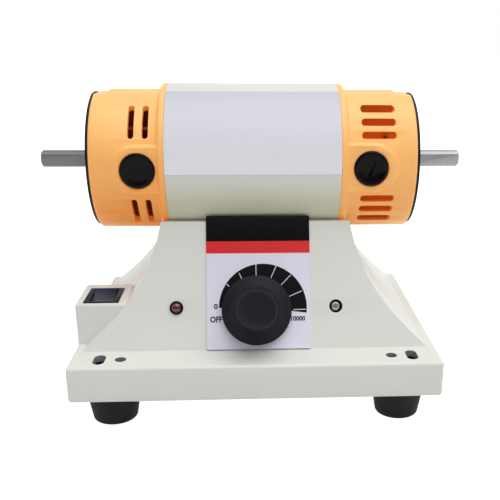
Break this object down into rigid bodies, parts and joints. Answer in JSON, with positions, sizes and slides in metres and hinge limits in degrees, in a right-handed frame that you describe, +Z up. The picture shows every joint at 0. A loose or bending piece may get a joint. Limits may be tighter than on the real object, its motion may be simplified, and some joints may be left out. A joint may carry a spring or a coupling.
{
  "type": "bench polishing machine",
  "caption": "Double-ended bench polishing motor in a cast pedestal on rubber feet, with a speed dial, an indicator lamp and a rocker switch.",
  "frame": {"origin": "on the table, under the middle of the base", "axes": "+X along the motor's spindle to the right of someone facing the dial, +Y away from them, +Z up"},
  "size_m": [0.2017, 0.1265, 0.15],
  "materials": {
    "cream_enamel": "semi-gloss enamel",
    "orange_nylon": "fine moulded satin",
    "label_film": "satin film",
    "panel_film": "printed satin film",
    "black_phenolic": "glossy moulded",
    "black_rubber": "matt rubber",
    "matt_black": "matt moulded",
    "slate_nylon": "satin moulded",
    "red_lens": "clear tinted",
    "ground_steel": "ground",
    "zinc_steel": "zinc plated",
    "silicon_steel": "varnished laminations",
    "copper": "enamelled copper",
    "brass": "turned",
    "carbon": "pressed carbon",
    "board_glass": "glass epoxy board",
    "capacitor_blue": "moulded case"
  },
  "bodies": {
    "pedestal": {"base_casting": "cream_enamel", "bottom_cover": "zinc_steel", "front_left_foot": "black_rubber", "front_right_foot": "black_rubber", "rear_left_foot": "black_rubber", "rear_right_foot": "black_rubber", "front_left_foot_screw": "zinc_steel", "front_right_foot_screw": "zinc_steel", "rear_left_foot_screw": "zinc_steel", "rear_right_foot_screw": "zinc_steel", "cable_grommet": "black_rubber", "control_panel": "panel_film", "potentiometer_body": "zinc_steel", "potentiometer_nut": "zinc_steel", "lamp_bezel": "black_phenolic", "lamp_lens": "red_lens", "triac": "black_phenolic", "triac_screw": "zinc_steel", "switch_body": "matt_black", "circuit_board": "board_glass", "capacitor": "capacitor_blue", "stator_core": "silicon_steel", "upper_field_coil": "copper", "lower_field_coil": "copper", "motor_sleeve": "cream_enamel", "sleeve_label": "label_film", "left_saddle_bolt": "zinc_steel", "right_saddle_bolt": "zinc_steel", "left_end_bell": "orange_nylon", "right_end_bell": "orange_nylon", "left_end_plate": "matt_black", "right_end_plate": "matt_black", "left_bearing_outer_ring": "ground_steel", "left_bearing_ball_cage": "ground_steel", "right_bearing_outer_ring": "ground_steel", "right_bearing_ball_cage": "ground_steel", "left_upper_bell_screw": "zinc_steel", "left_lower_bell_screw": "zinc_steel", "right_upper_bell_screw": "zinc_steel", "right_lower_bell_screw": "zinc_steel", "front_blanking_plug": "black_phenolic", "rear_blanking_plug": "black_phenolic", "front_brush_cap": "black_phenolic", "rear_brush_cap": "black_phenolic", "front_brush_holder": "brass", "rear_brush_holder": "brass", "front_brush_spring": "zinc_steel", "rear_brush_spring": "zinc_steel", "front_carbon_brush": "carbon", "rear_carbon_brush": "carbon"},
    "rotor": {"rotor_shaft": "ground_steel", "rotor_core": "silicon_steel", "armature_winding": "copper", "commutator": "copper", "cooling_fan": "orange_nylon", "left_bearing_inner_ring": "ground_steel", "right_bearing_inner_ring": "ground_steel"},
    "dial": {"speed_knob": "matt_black", "potentiometer_shaft": "brass"},
    "rocker": {"switch_rocker": "slate_nylon"}
  },
  "joints": [
    {"name": "spindle_spin", "type": "hinge", "parent": "pedestal", "child": "rotor", "pos_m": [-0.0007, 0.0072, 0.1146], "axis": [1, 0, 0], "continuous": true},
    {"name": "dial_turn", "type": "hinge", "parent": "pedestal", "child": "dial", "pos_m": [0, -0.03827, 0.05271], "axis": [0, 0.9272, -0.3746], "range_deg": [0, 210]},
    {"name": "rocker_tilt", "type": "hinge", "parent": "pedestal", "child": "rocker", "pos_m": [-0.07075, -0.0254, 0.056], "axis": [1, 0, 0], "range_deg": [-12, 0]}
  ]
}
